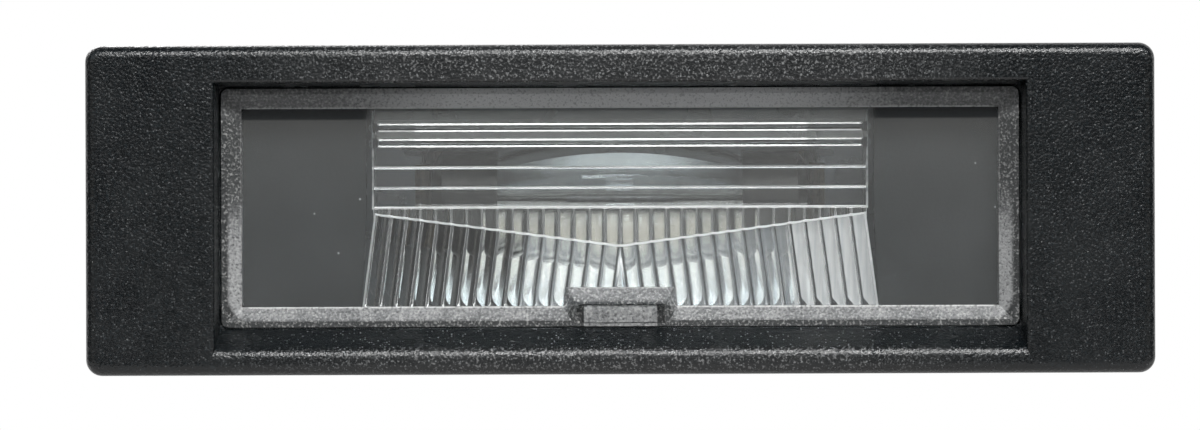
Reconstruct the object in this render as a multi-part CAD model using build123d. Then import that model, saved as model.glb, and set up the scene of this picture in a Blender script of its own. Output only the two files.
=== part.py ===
from build123d import *
import os
from math import cos, radians, sin, sqrt

# Number plate lamp, in millimetres.
# X runs along the lamp, Y from the lens into the car, Z up.
# The origin is the middle of the panel cut-out, on the seat plane where the gasket bears on the panel.

# Bezel and housing
BEZEL_W = 93.0  # length of the bezel
BEZEL_H = 28.7  # height of the bezel
BEZEL_D = 6.0  # front face ahead of the seat plane
CORNER_R = 1.4  # corners of the bezel seen from the front
EDGE_R = 1.0  # rounding of the front edge
WALL = 1.8  # walls of the moulding
FACE_T = 2.0  # front wall over the hollow ends
FLOOR_T = 1.6  # pocket floor behind the lens
RIB_T = 1.2  # stiffening ribs

# Lens
END_W = 11.7  # end panels of the bezel beside the lens
BAR_H = 3.95  # bars of the bezel over and under the lens
LENS_W = BEZEL_W - 2 * END_W
LENS_H = BEZEL_H - 2 * BAR_H
LENS_Z = 0.2  # optical axis above the middle of the bezel
LENS_R = 0.6
LENS_FIT = 0.15  # gap round the lens in its pocket
LENS_RECESS = 2.8  # lens rim behind the bezel face
RIM_T = 2.8  # thickness of the lens rim
LAND = 0.5  # flat top of the rim
BORDER_W = 1.75  # frosted border
WINDOW_DROP = 0.7  # clear window below the rim
WINDOW_T = 1.6  # thickness of the clear window
ARCH_W = 10.0  # border jogs round the release tab
ARCH_H = 1.65
ARCH_LEAN = 0.3
ARCH_IN = 0.75  # slope's width at the sides of the jog
TAB_W = 6.4  # release tab in the bottom border
TAB_H = 1.5
TAB_SINK = 0.9  # recess round the tab

# Pocket mouth
RAMP_H = 1.95  # lower bar slopes this far down
ROLL_R = 1.2  # roll at the top of the slope
DRAFT = 0.3  # lean of the other pocket walls
LIP_R = 0.4  # rounding of the pocket mouth

# Optics on the back of the lens
FLUTE_W = 1.346  # width of one flute
FLUTE_COUNT = 16  # flutes in each half
FLUTE_RISE = 0.32
STRIP_RELIEF = 0.12
SIDE_DRAFT = 0.25  # lean of the optics' end walls
BLOCK_H = 8.5  # upper block, rods and prisms
BLOCK_RELIEF = 1.1
ROD_R = 0.38
ROD_PITCH = 1.35
ROD_DROP = 1.65  # first rod below the window's top edge
ROD_END_R = 0.44  # round bead at each end of a rod
PRISM_COUNT = 3
PRISM_PITCH = 1.78
PRISM_RISE = 0.32
PRISM_LEAN = 0.15  # lean of the steps between the prisms
PRISM_R = 0.14  # rounding of the prism edges
FAN_ANGLE = 7.5  # lower blocks turned this far, in degrees
FAN_LEAN = 9.0  # lean of the V's wall, in degrees
FAN_DROP = 3.35  # middle of the V below the upper block
FAN_RELIEF = 1.36
OPTIC_FIT = 0.25  # gap round the optics in the pocket floor

# Bulb chamber
CHAMBER_W = 46.4
CHAMBER_IN = 1.2  # chamber inside the lens outline, top and bottom
CHAMBER_H = LENS_H - 2 * CHAMBER_IN
CHAMBER_R = 1.2

# Festoon bulb
BULB_LEN = 36.0
BULB_GAP = 0.9  # glass behind the optics
GLASS_D = 11.0
GLASS_T = 0.6
GLASS_LEN = 25.0
NECK_LEN = 1.9
SHOULDER_LEN = 2.0
CAP_D = 8.5
CAP_T = 0.35
CAP_LEN = 6.8
CAP_FIT = 0.04
CONE_LEN = 1.9
CONE_TIP_D = 3.2
SOLDER_D = 2.2
SOLDER_H = 0.4
LEAD_D = 0.5
LEAD_FIT = 0.02
FILAMENT_D = 0.7
FILAMENT_LEN = 9.4

# Reflector
REFLECTOR_W = 30.0
REFLECTOR_TOP = 5.0  # middle of the upper edge inside the chamber
REFLECTOR_LOW = 0.5  # lower edge inside the chamber
REFLECTOR_R = 32.0  # radius of the trough
REFLECTOR_ARCH = 41.0  # radius of the arched upper edge
REFLECTOR_T = 0.8
REFLECTOR_GAP = 0.7  # bulb glass to the vertex
PEG_W = 1.8
PEG_X = 9.0  # lower pegs
PEG_Z = -4.5
TOP_PEG_X = 5.2  # upper pegs
TOP_PEG_Z = 2.75
PEG_DEPTH = 1.0
PEG_FIT = 0.04

# Contacts and terminals
CONTACT_T = 0.5
CONTACT_W = 7.0
CONTACT_BEND = 0.9
CONTACT_REACH = 4.3  # leg past the bulb's axis
CONTACT_FLARE = 0.9
FOOT_W = 3.2
SEAT_PLAY = 0.02
BLADE_W = 1.6
BLADE_T = 0.6
BLADE_X = 2.6
BLADE_LEN = 5.0
BLADE_FIT = 0.03
HEAD_W = 2.8
HEAD_T = 0.5
HEAD_GAP = 0.3  # terminal heads to the reflector's back

# Bulb carrier
PLATE_T = 1.8
PLUG_DEPTH = 2.0
PLUG_T = 1.2
PLUG_FIT = 0.15
SEAL_T = 0.6
ARM_W = 8.0
ARM_T = 1.4
ARM_LEN = 8.0
ARM_GAP = 0.3
ARM_BAR = 1.6
CATCH_W = 4.4
CATCH_LEN = 3.0
CATCH_H = 1.3
CATCH_FIT = 0.12
STOP_GAP = 0.5  # spread a contact may take before its stop
STOP_T = 1.5
STOP_LEN = 5.0
SHROUD_W = 14.0
SHROUD_H = 10.0
SHROUD_T = 1.2
SHROUD_LEN = 10.0
SHROUD_R = 1.0
NOSE_W = 4.0
NOSE_H = 1.2
NOSE_LEN = 3.0
NOSE_BACK = 5.5  # latch nose ahead of the socket's rim
BACK_RIB_H = 1.5
BACK_RIB_Z = 5.5

# Fixing in the panel
PANEL_T = 2.5
GASKET_T = 1.0
GASKET_W = 1.2
GASKET_INSET = 0.4
HOOK_W = 10.0
HOOK_T = 2.0
HOOK_H = 2.2
HOOK_REACH = 3.2
HOOK_GAP = 0.3
TOWER_IN = 4.4  # tower's inner face from the edge of the pocket box
TOWER_T = 2.4
TOWER_W = 13.0
TOWER_H = 9.8
SPRING_T = 0.5
SPRING_W = 10.0
SPRING_BEND = 0.8
SPRING_FOLD = 0.26
SPRING_NOSE = 3.0  # nose past the edge of the pocket box
SPRING_REACH = 2.0  # nose behind the panel
SPRING_TAIL = 1.2
SPRING_TAIL_LEN = 2.6
SPRING_LEG = 4.6
NIB_W = 3.0
NIB_H = 2.0
NIB_FIT = 0.1
NIB_UP = 1.2  # nib above the end of the spring's leg

# Levels along Y
FRONT = -BEZEL_D
LENS_FRONT = FRONT + LENS_RECESS
LENS_BACK = LENS_FRONT + RIM_T
WINDOW_FRONT = LENS_FRONT + WINDOW_DROP
WINDOW_BACK = WINDOW_FRONT + WINDOW_T
FLOOR_BACK = LENS_BACK + FLOOR_T
OPTIC_BACK = WINDOW_BACK + FAN_RELIEF + FLUTE_RISE
BULB_Y = OPTIC_BACK + BULB_GAP + GLASS_D / 2
FOCUS = GLASS_D / 2 + REFLECTOR_GAP
MIRROR_Y = BULB_Y + FOCUS
PLATE_Y = MIRROR_Y + REFLECTOR_T + HEAD_GAP + HEAD_T + CONTACT_T
CHAMBER_END = PLATE_Y - SEAL_T
PLATE_BACK = PLATE_Y + PLATE_T

# Half sizes and heights of the lens
WINDOW_X = LENS_W / 2 - BORDER_W
WINDOW_TOP = LENS_Z + LENS_H / 2 - BORDER_W
WINDOW_LOW = LENS_Z - LENS_H / 2 + BORDER_W
POCKET_X = LENS_W / 2 + LENS_FIT
POCKET_TOP = LENS_Z + LENS_H / 2 + LENS_FIT
POCKET_LOW = LENS_Z - LENS_H / 2 - LENS_FIT
TRAY_X = POCKET_X + WALL
TOWER_X = TRAY_X - TOWER_IN
OPTIC_X = FLUTE_COUNT * FLUTE_W
BLOCK_TOP = WINDOW_TOP - 0.2
BLOCK_LOW = BLOCK_TOP - BLOCK_H
FAN_APEX = BLOCK_LOW - FAN_DROP
SEAT_X = BULB_LEN / 2 - SOLDER_H - CONE_LEN / 2
SEAT_R = (CAP_D + CONE_TIP_D) / 4


def block(x0, x1, y0, y1, z0, z1):
    middle = Pos((x0 + x1) / 2, (y0 + y1) / 2, (z0 + z1) / 2)
    return middle * Box(x1 - x0, y1 - y0, z1 - z0)


def facing(y):
    return Plane(origin=(0, y, 0), x_dir=(1, 0, 0), z_dir=(0, -1, 0))


def slab(sketch, y0, y1):
    return extrude(facing(y0) * sketch, amount=y1 - y0, dir=(0, 1, 0))


def along_x(face, x0, x1):
    return Pos(x0, 0, 0) * extrude(Plane.YZ * face, amount=x1 - x0, dir=(1, 0, 0))


def along_z(face, z0, z1):
    return Pos(0, 0, z0) * extrude(face, amount=z1 - z0, dir=(0, 0, 1))


def outline(width, height, radius, z=LENS_Z):
    return Pos(0, z) * RectangleRounded(width, height, radius)


def pocket_mouth():
    # The lower bar's slope rolls over into the front face, the other walls lean out a little.
    corner = Vector(FRONT, POCKET_LOW - RAMP_H)
    foot = Vector(LENS_FRONT, POCKET_LOW)
    slope = (foot - corner).normalized()
    reach = ROLL_R * (1 - slope.Y) / abs(slope.X)
    low = corner - Vector(0, reach)
    high = corner + slope * reach
    centre = low + Vector(ROLL_R, 0)
    middle = centre + (corner - centre).normalized() * ROLL_R
    lip = Vector(FRONT + LIP_R, POCKET_TOP + DRAFT)
    lip_out = Vector(FRONT, POCKET_TOP + DRAFT + LIP_R)
    lip_mid = Vector(FRONT + LIP_R * (1 - cos(radians(45))), POCKET_TOP + DRAFT + LIP_R * (1 - sin(radians(45))))
    ahead = FRONT - 1
    section = [
        Line(foot, (LENS_FRONT, POCKET_TOP)),
        Line((LENS_FRONT, POCKET_TOP), lip),
        ThreePointArc(lip, lip_mid, lip_out),
        Line(lip_out, (ahead, lip_out.Y)),
        Line((ahead, lip_out.Y), (ahead, low.Y)),
        Line((ahead, low.Y), low),
        ThreePointArc(low, middle, high),
        Line(high, foot),
    ]
    across = along_x(make_face(section), -BEZEL_W / 2, BEZEL_W / 2)
    edge = POCKET_X + DRAFT
    bulge = LIP_R * (1 - cos(radians(45)))
    right = [(POCKET_X, LENS_FRONT), (edge, FRONT + LIP_R), (edge + bulge, FRONT + bulge), (edge + LIP_R, FRONT)]
    plan = [
        Line(right[0], right[1]),
        ThreePointArc(right[1], right[2], right[3]),
        Line(right[3], (right[3][0], ahead)),
        Line((right[3][0], ahead), (-right[3][0], ahead)),
        Line((-right[3][0], ahead), (-right[3][0], FRONT)),
        ThreePointArc((-right[3][0], FRONT), (-right[2][0], right[2][1]), (-right[1][0], right[1][1])),
        Line((-right[1][0], right[1][1]), (-POCKET_X, LENS_FRONT)),
        Line((-POCKET_X, LENS_FRONT), right[0]),
    ]
    return across & along_z(make_face(plan), -BEZEL_H, BEZEL_H)


def optic_opening(gap):
    turn = radians(FAN_ANGLE)
    fall = (FAN_APEX + OPTIC_X * sin(turn) - WINDOW_LOW) / cos(turn)
    foot_x = OPTIC_X * cos(turn) + fall * sin(turn) + gap
    bend = BLOCK_LOW - 0.5
    low = WINDOW_LOW - gap
    top = BLOCK_TOP + gap
    head_x = OPTIC_X + ROD_END_R + gap
    return Polygon(
        (-head_x, top), (head_x, top), (head_x, bend), (foot_x, low), (-foot_x, low), (-head_x, bend), align=None
    )


def housing():
    rim_y = -GASKET_T
    shell = slab(RectangleRounded(BEZEL_W, BEZEL_H, CORNER_R), FRONT, rim_y)
    shell = fillet(shell.faces().sort_by(Axis.Y)[0].edges(), EDGE_R)
    tray_r = LENS_R + LENS_FIT + WALL
    shell += slab(outline(2 * TRAY_X, LENS_H + 2 * LENS_FIT + 2 * WALL, tray_r), rim_y - 0.5, FLOOR_BACK)
    tube_w = CHAMBER_W + 2 * WALL
    tube_h = CHAMBER_H + 2 * WALL
    shell += slab(outline(tube_w, tube_h, CHAMBER_R + WALL), FLOOR_BACK - 0.5, CHAMBER_END)

    # Hollow ends behind the bezel, with two ribs each.
    inner_x = BEZEL_W / 2 - WALL
    inner_z = BEZEL_H / 2 - WALL
    for side in (-1, 1):
        ends = sorted((side * TRAY_X, side * inner_x))
        hollow = block(ends[0], ends[1], FRONT + FACE_T, rim_y + 1, -inner_z, inner_z)
        for level in (-inner_z / 3, inner_z / 3):
            hollow -= block(ends[0], ends[1], FRONT, rim_y - 0.8, level - RIB_T / 2, level + RIB_T / 2)
        shell -= hollow

    # Fixed hook at the left end, braced to the chamber.
    hook_y = PANEL_T + HOOK_GAP
    hook_end = hook_y + HOOK_H
    tip = -TRAY_X - HOOK_REACH
    hook = make_face(
        Polyline(
            (-TRAY_X + HOOK_T, FLOOR_BACK - 0.5),
            (-TRAY_X, FLOOR_BACK - 0.5),
            (-TRAY_X, hook_y),
            (tip, hook_y),
            (tip, hook_y + HOOK_H / 3),
            (tip + HOOK_H, hook_end),
            (-TRAY_X + HOOK_T, hook_end),
            close=True,
        )
    )
    shell += along_z(hook, LENS_Z - HOOK_W / 2, LENS_Z + HOOK_W / 2)
    brace = make_face(
        Polyline(
            (-TRAY_X + HOOK_T - 0.3, FLOOR_BACK - 0.5),
            (-TRAY_X + HOOK_T - 0.3, hook_end),
            (-tube_w / 2 + 0.3, hook_end - 1.2),
            (-tube_w / 2 + 0.3, FLOOR_BACK - 0.5),
            close=True,
        )
    )
    for level in (LENS_Z - HOOK_W / 2 + RIB_T, LENS_Z + HOOK_W / 2 - RIB_T):
        shell += along_z(brace, level - RIB_T / 2, level + RIB_T / 2)

    # Tower for the spring at the right end, with a nib that holds it.
    top = FLOOR_BACK + TOWER_H
    tower = block(TOWER_X, TOWER_X + TOWER_T, FLOOR_BACK - 0.5, top, LENS_Z - TOWER_W / 2, LENS_Z + TOWER_W / 2)
    shell += fillet(tower.edges().filter_by(Axis.X).group_by(Axis.Y)[-1], 1.2)
    low_leg = top - SPRING_LEG
    nib = block(
        TOWER_X - SPRING_T,
        TOWER_X + 0.3,
        low_leg + NIB_UP,
        low_leg + NIB_UP + NIB_H,
        LENS_Z - NIB_W / 2,
        LENS_Z + NIB_W / 2,
    )
    shell += chamfer(nib.edges().filter_by(Axis.Z).group_by(Axis.X)[0].sort_by(Axis.Y)[-1], 0.35)
    for level in (LENS_Z - TOWER_W / 2 + RIB_T, LENS_Z + TOWER_W / 2 - RIB_T):
        shell += block(
            tube_w / 2 - 0.3, TOWER_X + 0.3, FLOOR_BACK - 0.5, low_leg - 0.8, level - RIB_T / 2, level + RIB_T / 2
        )

    # Catches for the bulb carrier on the chamber's end walls.
    catch_y = PLATE_Y - ARM_LEN + ARM_BAR + CATCH_FIT
    for side in (-1, 1):
        wall_x = side * tube_w / 2
        catch = make_face(
            Polyline(
                (wall_x - side * 0.4, catch_y),
                (wall_x + side * CATCH_H, catch_y),
                (wall_x, catch_y + CATCH_LEN),
                (wall_x - side * 0.4, catch_y + CATCH_LEN),
                close=True,
            )
        )
        shell += along_z(catch, LENS_Z - CATCH_W / 2, LENS_Z + CATCH_W / 2)

    shell -= pocket_mouth()
    shell -= slab(
        outline(2 * POCKET_X, LENS_H + 2 * LENS_FIT, LENS_R + LENS_FIT), LENS_FRONT - 0.02, LENS_BACK
    )
    shell -= slab(optic_opening(OPTIC_FIT), LENS_BACK - 0.5, FLOOR_BACK + 0.5)
    shell -= slab(outline(CHAMBER_W, CHAMBER_H, CHAMBER_R), FLOOR_BACK, CHAMBER_END + 1)
    return shell


def fluted(count, base, rise, extra):
    # Cross section of a row of half round flutes, from the middle outwards along -X.
    lines = []
    for i in range(-extra, count):
        start = (-i * FLUTE_W, base)
        end = (-(i + 1) * FLUTE_W, base)
        lines.append(SagittaArc(start, end, -rise))
    first = (extra * FLUTE_W, base)
    last = (-count * FLUTE_W, base)
    sunk = WINDOW_BACK - WINDOW_T / 2
    left = (last[0] - SIDE_DRAFT, sunk)
    right = (first[0] + SIDE_DRAFT, sunk)
    lines.append(Line(last, left))
    lines.append(Line(left, right))
    lines.append(Line(right, first))
    return make_face(lines)


def upper_block():
    # Two rods over three saw-tooth prisms, read in section from the top down.
    base = WINDOW_BACK + BLOCK_RELIEF
    sunk = WINDOW_BACK - WINDOW_T / 2
    teeth = BLOCK_LOW + PRISM_COUNT * PRISM_PITCH
    points = [(sunk, BLOCK_TOP), (base, BLOCK_TOP), (base, teeth)]
    crest = base + PRISM_RISE
    for i in range(PRISM_COUNT):
        edge = teeth - (i + 1) * PRISM_PITCH
        points.append((crest, edge))
        points.append((base if i < PRISM_COUNT - 1 else sunk, edge - PRISM_LEAN))
    section = make_face(Polyline(*points, close=True))
    section = fillet(section.vertices().group_by(Axis.X)[-1], PRISM_R)
    solid = along_x(section, -LENS_W, LENS_W)
    far = OPTIC_X + SIDE_DRAFT
    ends = Polyline((-far, sunk), (-OPTIC_X, crest), (OPTIC_X, crest), (far, sunk), close=True)
    solid &= along_z(make_face(ends), -LENS_H, LENS_H)
    for i in range(2):
        level = WINDOW_TOP - ROD_DROP - i * ROD_PITCH
        solid += Pos(0, base, level) * Cylinder(ROD_R, 2 * OPTIC_X, rotation=(0, 90, 0))
        for end in (-OPTIC_X, OPTIC_X):
            solid += slab(Pos(end, level) * Circle(ROD_END_R), base - 2 * ROD_R, base + ROD_END_R)
    return solid


def fan_block():
    # Left half of the lower fan: flutes that lean outwards towards the bottom, mitred on the middle.
    turn = radians(FAN_ANGLE)
    lean = radians(FAN_LEAN)
    apex = (0, 0, FAN_APEX)
    across = (cos(turn), 0, -sin(turn))
    square = Plane(origin=apex, x_dir=across, z_dir=(sin(turn), 0, cos(turn)))
    wall = Plane(origin=apex, x_dir=across, z_dir=(sin(turn) * cos(lean), sin(lean), cos(turn) * cos(lean)))
    row = square.offset(FLUTE_W) * fluted(FLUTE_COUNT, WINDOW_BACK + FAN_RELIEF, FLUTE_RISE, 2)
    solid = extrude(row, amount=LENS_H, dir=(-sin(turn), 0, -cos(turn)))
    solid &= extrude(wall * Rectangle(2 * LENS_W, 2 * LENS_H), amount=-LENS_H)
    return solid & block(-LENS_W, 0, -LENS_H, LENS_H, WINDOW_LOW, LENS_H)


def window_edge(grow, side):
    # Edge of the clear window, jogged up round the release tab, grown outwards onto the border.
    wide = WINDOW_X + grow
    low = WINDOW_LOW - grow
    arch = ARCH_W / 2 - side
    arch_top = WINDOW_LOW + ARCH_H - grow
    return Polygon(
        (-wide, WINDOW_TOP + grow),
        (wide, WINDOW_TOP + grow),
        (wide, low),
        (arch, low),
        (arch - ARCH_LEAN, arch_top),
        (-arch + ARCH_LEAN, arch_top),
        (-arch, low),
        (-wide, low),
        align=None,
    )


def lens():
    body = slab(outline(LENS_W, LENS_H, LENS_R), LENS_FRONT, LENS_BACK)
    body -= slab(outline(2 * WINDOW_X, WINDOW_TOP - WINDOW_LOW, 0.4), WINDOW_BACK, LENS_BACK + 1)

    # The border falls from the rim to the window and jogs up round the release tab.
    drop = BORDER_W - LAND
    rim = facing(LENS_FRONT) * window_edge(drop, ARCH_IN)
    foot = facing(WINDOW_FRONT) * window_edge(0, 0)
    body -= loft([rim, foot], ruled=True)
    arch = ARCH_W / 2
    arch_top = WINDOW_LOW + ARCH_H
    recess_x = arch - 1.15
    recess_low = LENS_Z - LENS_H / 2 + 0.25
    recess_top = arch_top - drop - 0.2
    body -= block(-recess_x, recess_x, LENS_FRONT - 1, LENS_FRONT + TAB_SINK, recess_low, recess_top)
    tab = block(
        -TAB_W / 2,
        TAB_W / 2,
        LENS_FRONT + 0.25,
        LENS_FRONT + TAB_SINK + 0.3,
        recess_low + 0.08,
        recess_low + 0.08 + TAB_H,
    )
    body += tab

    strip = fluted(FLUTE_COUNT, WINDOW_BACK + STRIP_RELIEF, FLUTE_RISE, FLUTE_COUNT)
    body += along_z(strip, FAN_APEX - 0.8, BLOCK_LOW + 0.3)
    body += upper_block()
    fan = fan_block()
    body += fan
    body += mirror(fan, about=Plane.YZ)
    return body


def peg_spots():
    # Reflector's pegs, X and Z from the bulb's axis.
    return [(-PEG_X, PEG_Z), (PEG_X, PEG_Z), (-TOP_PEG_X, TOP_PEG_Z), (TOP_PEG_X, TOP_PEG_Z)]


def reflector():
    # Bright shallow trough behind the bulb, its upper edge arched as the bulb is, on four pegs.
    low = REFLECTOR_LOW - CHAMBER_H / 2
    top = CHAMBER_H / 2 - REFLECTOR_TOP
    high = top + REFLECTOR_T

    def face(z):
        return MIRROR_Y - REFLECTOR_R + sqrt(REFLECTOR_R * REFLECTOR_R - z * z)

    front = ThreePointArc((face(low), low), (MIRROR_Y, 0), (face(high), high))
    back = Pos(REFLECTOR_T, 0) * front
    section = make_face([front, Line(front @ 1, back @ 1), back, Line(back @ 0, front @ 0)])
    trough = along_x(section, -REFLECTOR_W / 2, REFLECTOR_W / 2)
    trough &= slab(Pos(0, top - REFLECTOR_ARCH) * Circle(REFLECTOR_ARCH), BULB_Y, PLATE_Y)
    for x, z in peg_spots():
        trough += slab(Pos(x, z) * Rectangle(PEG_W, PEG_W), MIRROR_Y + REFLECTOR_T / 4, PLATE_Y + PEG_DEPTH)
    return Pos(0, 0, LENS_Z) * trough


def on_bulb_axis(section):
    return Pos(0, BULB_Y, LENS_Z) * revolve(section, Axis.X)


def bulb_glass():
    # Blown tube with sloped shoulders, necked down to go into the caps.
    half = GLASS_LEN / 2
    neck = CAP_D / 2 - CAP_T - CAP_FIT
    full = GLASS_D / 2
    neck_x = half - NECK_LEN
    body_x = neck_x - SHOULDER_LEN
    outer = make_face(
        Polyline(
            (-half, 0),
            (-half, neck),
            (-neck_x, neck),
            (-body_x, full),
            (body_x, full),
            (neck_x, neck),
            (half, neck),
            (half, 0),
            close=True,
        )
    )
    bore = full - GLASS_T
    inside = make_face(Polyline((-body_x, 0), (-body_x, bore), (body_x, bore), (body_x, 0), close=True))
    solid = revolve(outer, Axis.X) - revolve(inside, Axis.X)
    solid -= Cylinder(LEAD_D / 2 + LEAD_FIT, 2 * BULB_LEN, rotation=(0, 90, 0))
    return Pos(0, BULB_Y, LENS_Z) * solid


def bulb_cap():
    # Drawn cup with a conical end, right-hand side.
    tip_x = BULB_LEN / 2 - SOLDER_H
    cone_x = tip_x - CONE_LEN
    open_x = tip_x - CAP_LEN
    hole = LEAD_D / 2 + LEAD_FIT
    section = make_face(
        Polyline(
            (open_x, CAP_D / 2),
            (cone_x, CAP_D / 2),
            (tip_x, CONE_TIP_D / 2),
            (tip_x, hole),
            (cone_x - CAP_T, hole),
            (cone_x - CAP_T, CAP_D / 2 - CAP_T),
            (open_x, CAP_D / 2 - CAP_T),
            close=True,
        )
    )
    return on_bulb_axis(section)


def bulb_solder():
    # Drop of solder that closes the wire's hole, right-hand side.
    tip_x = BULB_LEN / 2 - SOLDER_H
    section = make_face(
        Polyline(
            (tip_x, 0),
            (tip_x, SOLDER_D / 2),
            (tip_x + SOLDER_H, SOLDER_D / 4),
            (tip_x + SOLDER_H, 0),
            close=True,
        )
    )
    return on_bulb_axis(section)


def bulb_lead():
    start = FILAMENT_LEN / 2
    end = BULB_LEN / 2 - SOLDER_H
    wire = Cylinder(LEAD_D / 2, end - start, rotation=(0, 90, 0))
    return Pos((start + end) / 2, BULB_Y, LENS_Z) * wire


def bulb_filament():
    coil = Cylinder(FILAMENT_D / 2, FILAMENT_LEN, rotation=(0, 90, 0))
    return Pos(0, BULB_Y, LENS_Z) * coil


def contact():
    # Spring strip, right-hand side: a foot on the carrier and a leg with a hole for the bulb's cone.
    middle = SEAT_X + CONTACT_T / 2
    foot_y = PLATE_Y - CONTACT_T / 2
    tip_y = BULB_Y - CONTACT_REACH
    path = FilletPolyline(
        (BLADE_X - HEAD_W / 2, foot_y),
        (middle, foot_y),
        (middle, tip_y + 1.2),
        (middle + CONTACT_FLARE, tip_y),
        radius=CONTACT_BEND,
    )
    strip = along_z(trace(path, CONTACT_T), -CONTACT_W / 2, CONTACT_W / 2)
    step_x = SEAT_X - 2.4
    for side in (-1, 1):
        ends = sorted((side * FOOT_W / 2, side * CONTACT_W))
        strip -= block(0, step_x, PLATE_Y - 2 * CONTACT_T, PLATE_Y + 1, ends[0], ends[1])
    hole = Cylinder(SEAT_R + SEAT_PLAY, 4, rotation=(0, 90, 0))
    strip -= Pos(middle, BULB_Y, 0) * hole
    slot_t = BLADE_T / 2 + BLADE_FIT
    slot_w = BLADE_W / 2 + BLADE_FIT
    strip -= block(BLADE_X - slot_t, BLADE_X + slot_t, PLATE_Y - 2, PLATE_Y + 1, -slot_w, slot_w)
    return Pos(0, 0, LENS_Z) * strip


def terminal():
    # Blade with a head that clamps the contact's foot, right-hand side.
    start = PLATE_Y - CONTACT_T
    end = PLATE_BACK + BLADE_LEN
    blade = block(BLADE_X - BLADE_T / 2, BLADE_X + BLADE_T / 2, start - HEAD_T / 2, end, -BLADE_W / 2, BLADE_W / 2)
    blade = chamfer(blade.faces().sort_by(Axis.Y)[-1].edges().filter_by(Axis.X), 0.4)
    head = block(BLADE_X - HEAD_W / 2, BLADE_X + HEAD_W / 2, start - HEAD_T, start, -FOOT_W / 2, FOOT_W / 2)
    return Pos(0, 0, LENS_Z) * (blade + head)


def bulb_carrier():
    tube_w = CHAMBER_W + 2 * WALL
    tube_h = CHAMBER_H + 2 * WALL
    plate = slab(RectangleRounded(tube_w, tube_h, CHAMBER_R + WALL), PLATE_Y, PLATE_BACK)
    plug_w = CHAMBER_W - 2 * PLUG_FIT
    plug_h = CHAMBER_H - 2 * PLUG_FIT
    plug_r = CHAMBER_R - PLUG_FIT
    plug = slab(RectangleRounded(plug_w, plug_h, plug_r), PLATE_Y - PLUG_DEPTH, PLATE_Y + 0.3)
    plug -= slab(
        RectangleRounded(plug_w - 2 * PLUG_T, plug_h - 2 * PLUG_T, 0.5), PLATE_Y - PLUG_DEPTH - 1, PLATE_Y
    )
    body = plate + plug

    # Snap arms with a window for the housing's catches.
    arm_in = tube_w / 2 + ARM_GAP
    arm_out = arm_in + ARM_T
    for side in (-1, 1):
        ends = sorted((side * arm_in, side * arm_out))
        ear = sorted((side * (tube_w / 2 - 0.5), side * arm_out))
        arm = block(ends[0], ends[1], PLATE_Y - ARM_LEN, PLATE_BACK, -ARM_W / 2, ARM_W / 2)
        arm += block(ear[0], ear[1], PLATE_Y, PLATE_BACK, -ARM_W / 2, ARM_W / 2)
        arm -= block(
            ends[0] - 1,
            ends[1] + 1,
            PLATE_Y - ARM_LEN + ARM_BAR,
            PLATE_Y - 1.2,
            -CATCH_W / 2 - 0.3,
            CATCH_W / 2 + 0.3,
        )
        body += arm

    # Stops behind the contacts, and sockets for the reflector's pegs.
    for side in (-1, 1):
        near = SEAT_X + CONTACT_T + STOP_GAP
        ends = sorted((side * near, side * (near + STOP_T)))
        body += block(ends[0], ends[1], PLATE_Y - STOP_LEN, PLATE_Y + 0.3, -CONTACT_W / 2, CONTACT_W / 2)
    for x, z in peg_spots():
        socket = Rectangle(PEG_W + 2 * PEG_FIT, PEG_W + 2 * PEG_FIT)
        body -= slab(Pos(x, z) * socket, PLATE_Y - 0.2, PLATE_Y + PEG_DEPTH)

    # Plug socket with a latch nose, and ribs across the back.
    shroud = slab(RectangleRounded(SHROUD_W, SHROUD_H, SHROUD_R), PLATE_BACK - 0.3, PLATE_BACK + SHROUD_LEN)
    nose = make_face(
        Polyline(
            (PLATE_BACK + SHROUD_LEN - NOSE_BACK, SHROUD_H / 2 - 0.4),
            (PLATE_BACK + SHROUD_LEN - NOSE_BACK, SHROUD_H / 2 + NOSE_H),
            (PLATE_BACK + SHROUD_LEN - NOSE_BACK + NOSE_LEN, SHROUD_H / 2 - 0.4),
            close=True,
        )
    )
    shroud += along_x(nose, -NOSE_W / 2, NOSE_W / 2)
    shroud -= slab(
        RectangleRounded(SHROUD_W - 2 * SHROUD_T, SHROUD_H - 2 * SHROUD_T, 0.4),
        PLATE_BACK,
        PLATE_BACK + SHROUD_LEN + 1,
    )
    body += shroud
    rib_end = tube_w / 2 - 2.2
    for side in (-1, 1):
        ends = sorted((side * (SHROUD_W / 2 - 0.5), side * rib_end))
        for level in (-BACK_RIB_Z, 0, BACK_RIB_Z):
            foot = side * (SHROUD_W / 2 + 1.2) if abs(level) > SHROUD_H / 2 - 1 else ends[0 if side > 0 else 1]
            span = sorted((foot, side * rib_end))
            body += block(
                span[0], span[1], PLATE_BACK - 0.3, PLATE_BACK + BACK_RIB_H, level - RIB_T / 2, level + RIB_T / 2
            )
    slot_t = BLADE_T / 2 + BLADE_FIT
    slot_w = BLADE_W / 2 + BLADE_FIT
    for x in (-BLADE_X, BLADE_X):
        body -= block(x - slot_t, x + slot_t, PLATE_Y - 1, PLATE_BACK + 1, -slot_w, slot_w)
    return Pos(0, 0, LENS_Z) * body


def carrier_seal():
    ring = outline(CHAMBER_W + 2 * WALL, CHAMBER_H + 2 * WALL, CHAMBER_R + WALL)
    ring -= outline(CHAMBER_W, CHAMBER_H, CHAMBER_R)
    return slab(ring, CHAMBER_END, PLATE_Y)


def flange_gasket():
    wide = BEZEL_W - 2 * GASKET_INSET
    high = BEZEL_H - 2 * GASKET_INSET
    ring = RectangleRounded(wide, high, CORNER_R)
    ring -= RectangleRounded(wide - 2 * GASKET_W, high - 2 * GASKET_W, CORNER_R / 2)
    return slab(ring, -GASKET_T, 0)


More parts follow.
